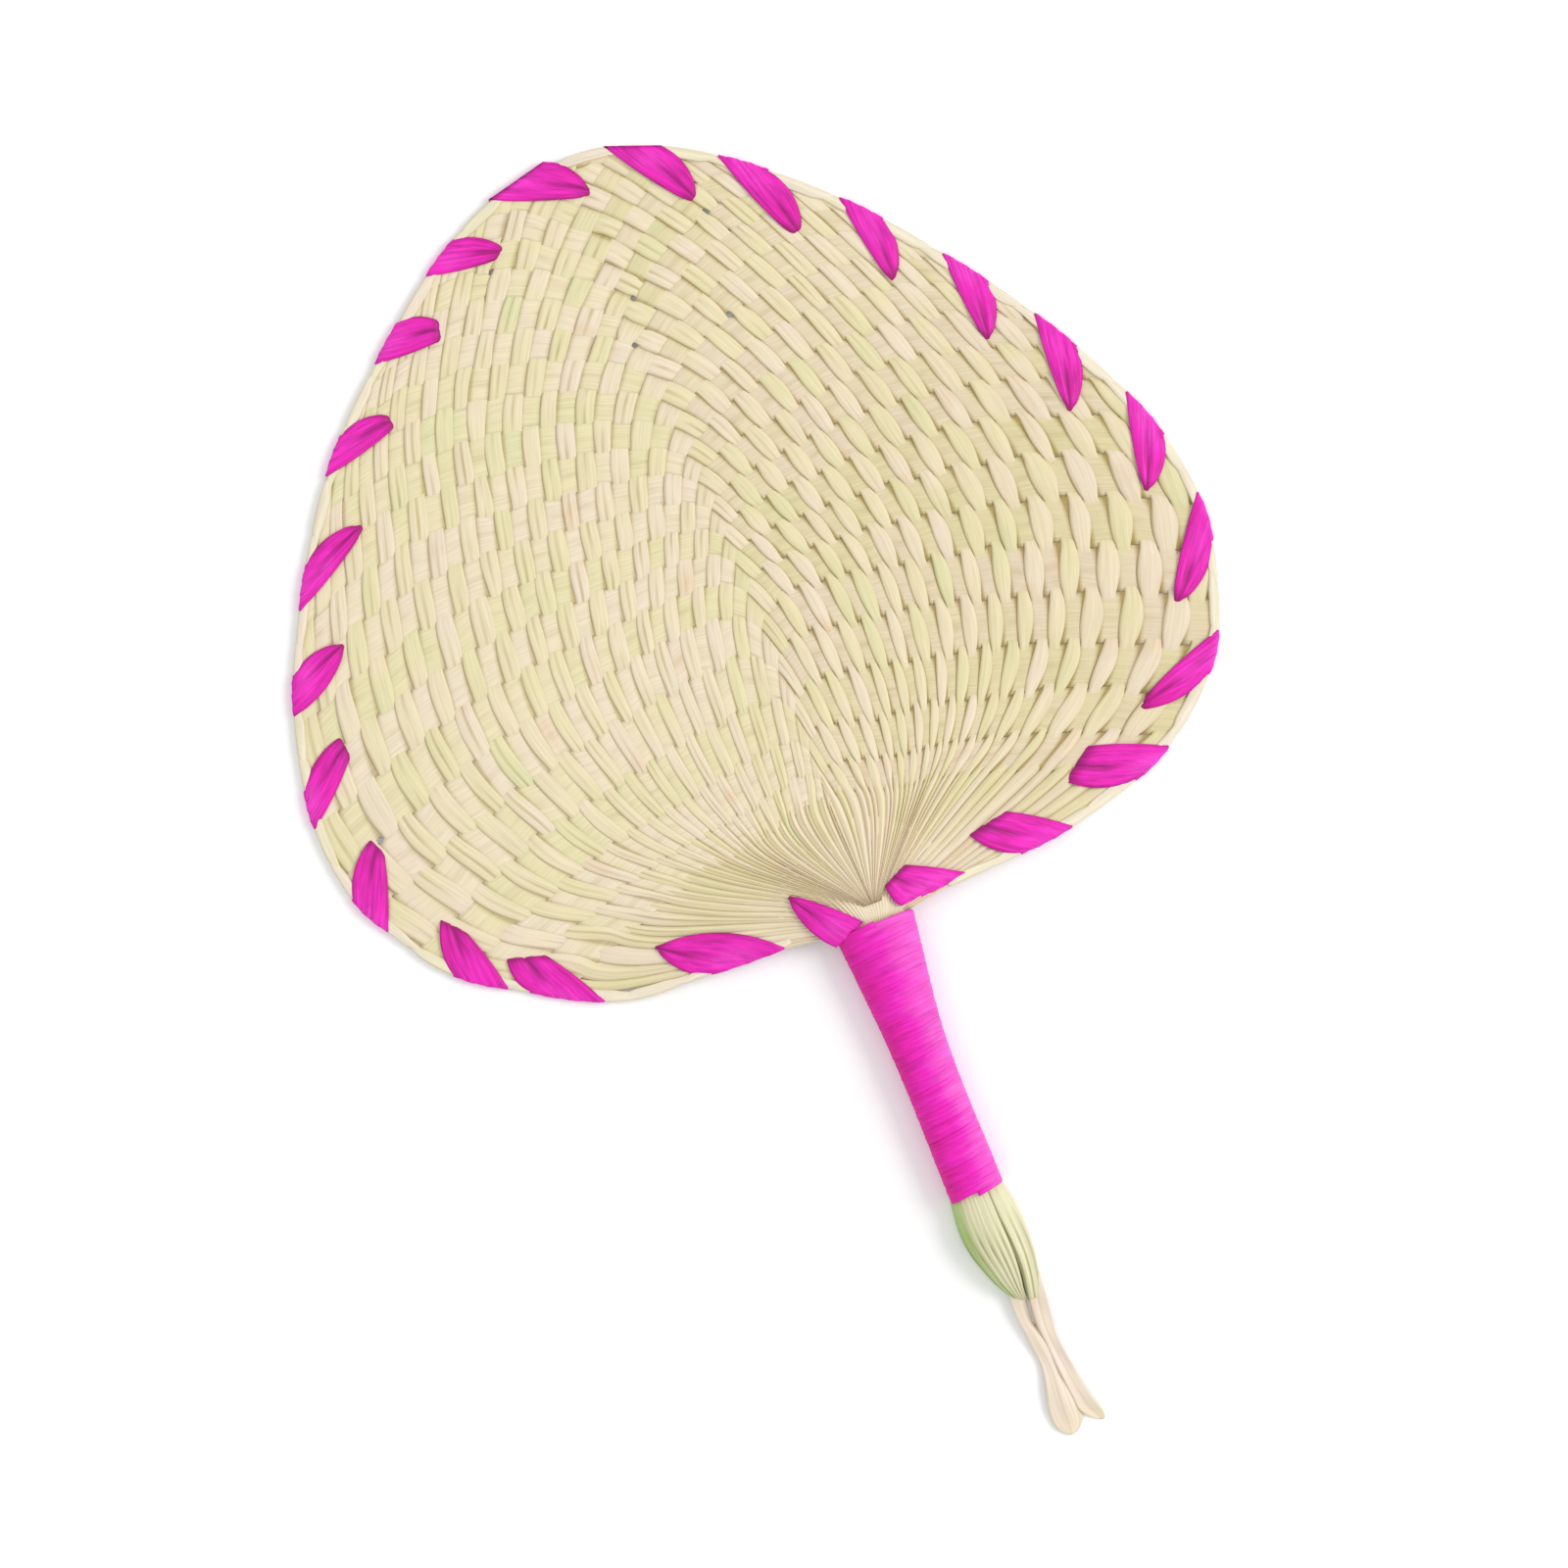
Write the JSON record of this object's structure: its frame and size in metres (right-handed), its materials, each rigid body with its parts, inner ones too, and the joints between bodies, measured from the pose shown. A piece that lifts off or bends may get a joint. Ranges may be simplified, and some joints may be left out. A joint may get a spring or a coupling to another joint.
{
  "type": "hand fan",
  "caption": "Hand-woven palm leaf fan with a rounded triangular plaited blade, dyed raffia whipped round the rim and wound round a straight handle, with a forked leaf tail.",
  "frame": {"origin": "centre of the bounding box on the plane the fan lies on", "axes": "+Y from the handle to the top of the blade, +Z out of the front of the blade, the fan lies flat in XY"},
  "size_m": [0.285, 0.4112, 0.0132],
  "materials": {
    "straw": "dried palm leaf, pale cream, satin",
    "raffia_dyed": "dyed raffia, magenta, fine lengthwise fibres",
    "leaf_green": "dried palm leaf, pale green, satin",
    "leaf_dry": "dried palm leaf, pale beige, matt"
  },
  "bodies": {
    "root": {"leaf_left_01": "straw", "leaf_left_02": "straw", "leaf_left_03": "straw", "leaf_left_04": "straw", "leaf_left_05": "straw", "leaf_left_06": "straw", "leaf_left_07": "straw", "leaf_left_08": "straw", "leaf_left_09": "straw", "leaf_left_10": "straw", "leaf_left_11": "straw", "leaf_left_12": "straw", "leaf_left_13": "straw", "leaf_left_14": "straw", "leaf_left_15": "straw", "leaf_left_16": "straw", "leaf_left_17": "straw", "leaf_left_18": "straw", "leaf_left_19": "straw", "leaf_left_20": "straw", "leaf_left_21": "straw", "leaf_left_22": "straw", "leaf_left_23": "straw", "leaf_left_24": "straw", "leaf_right_01": "straw", "leaf_right_02": "straw", "leaf_right_03": "straw", "leaf_right_04": "straw", "leaf_right_05": "straw", "leaf_right_06": "straw", "leaf_right_07": "straw", "leaf_right_08": "straw", "leaf_right_09": "straw", "leaf_right_10": "straw", "leaf_right_11": "straw", "leaf_right_12": "straw", "leaf_right_13": "straw", "leaf_right_14": "straw", "leaf_right_15": "straw", "leaf_right_16": "straw", "leaf_right_17": "straw", "leaf_right_18": "straw", "leaf_right_19": "straw", "leaf_right_20": "straw", "leaf_right_21": "straw", "leaf_right_22": "straw", "leaf_right_23": "straw", "leaf_right_24": "straw", "leaf_base": "straw", "rim_stitching": "raffia_dyed", "handle_core": "leaf_green", "grip_wrap": "raffia_dyed", "end_fold_left": "leaf_green", "end_fold_right": "leaf_green", "tail_left": "leaf_dry", "tail_right": "leaf_dry"}
  },
  "joints": []
}
